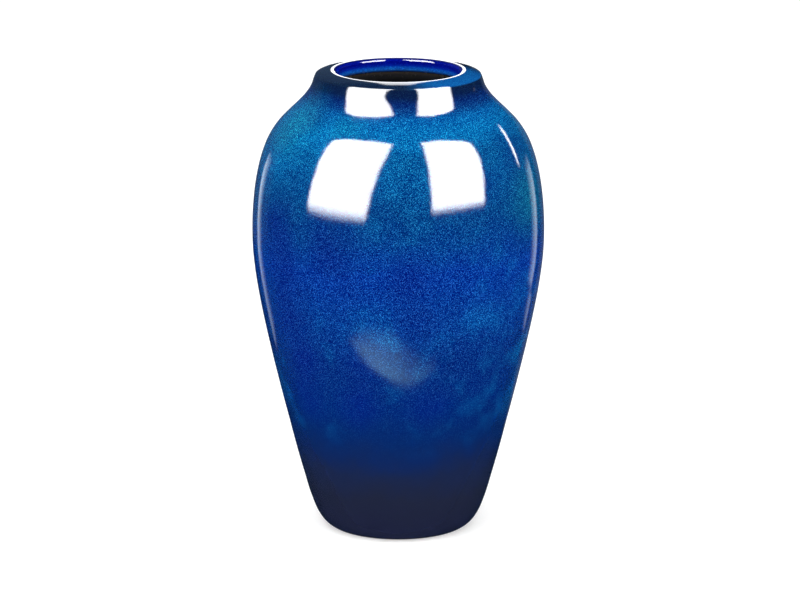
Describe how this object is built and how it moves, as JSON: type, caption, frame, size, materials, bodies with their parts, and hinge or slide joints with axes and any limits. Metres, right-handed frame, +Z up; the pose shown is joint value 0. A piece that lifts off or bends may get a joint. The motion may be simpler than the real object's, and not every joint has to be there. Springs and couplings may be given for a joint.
{
  "type": "stoneware vase",
  "caption": "Tall shouldered stoneware vase with a short neck and thick rolled lip, glazed mottled blue over a dark navy base.",
  "frame": {"origin": "on the axis, in the plane of the foot ring that the vase stands on", "axes": "+Z up along the vase's axis, from the foot to the mouth; the vase is round, so X and Y are free"},
  "size_m": [0.188, 0.188, 0.3],
  "materials": {
    "bare_stoneware": "matt unglazed fired stoneware, seen on the foot ring and in its recess",
    "navy_glaze": "smooth glossy opaque navy glaze",
    "blue_glaze": "glossy opaque mottled and finely speckled blue glaze",
    "dark_liner_glaze": "glossy near-black brown liner glaze"
  },
  "bodies": {
    "root": {"clay_body": "bare_stoneware", "base_glaze": "navy_glaze", "body_glaze": "blue_glaze", "liner_glaze": "dark_liner_glaze"}
  },
  "joints": []
}
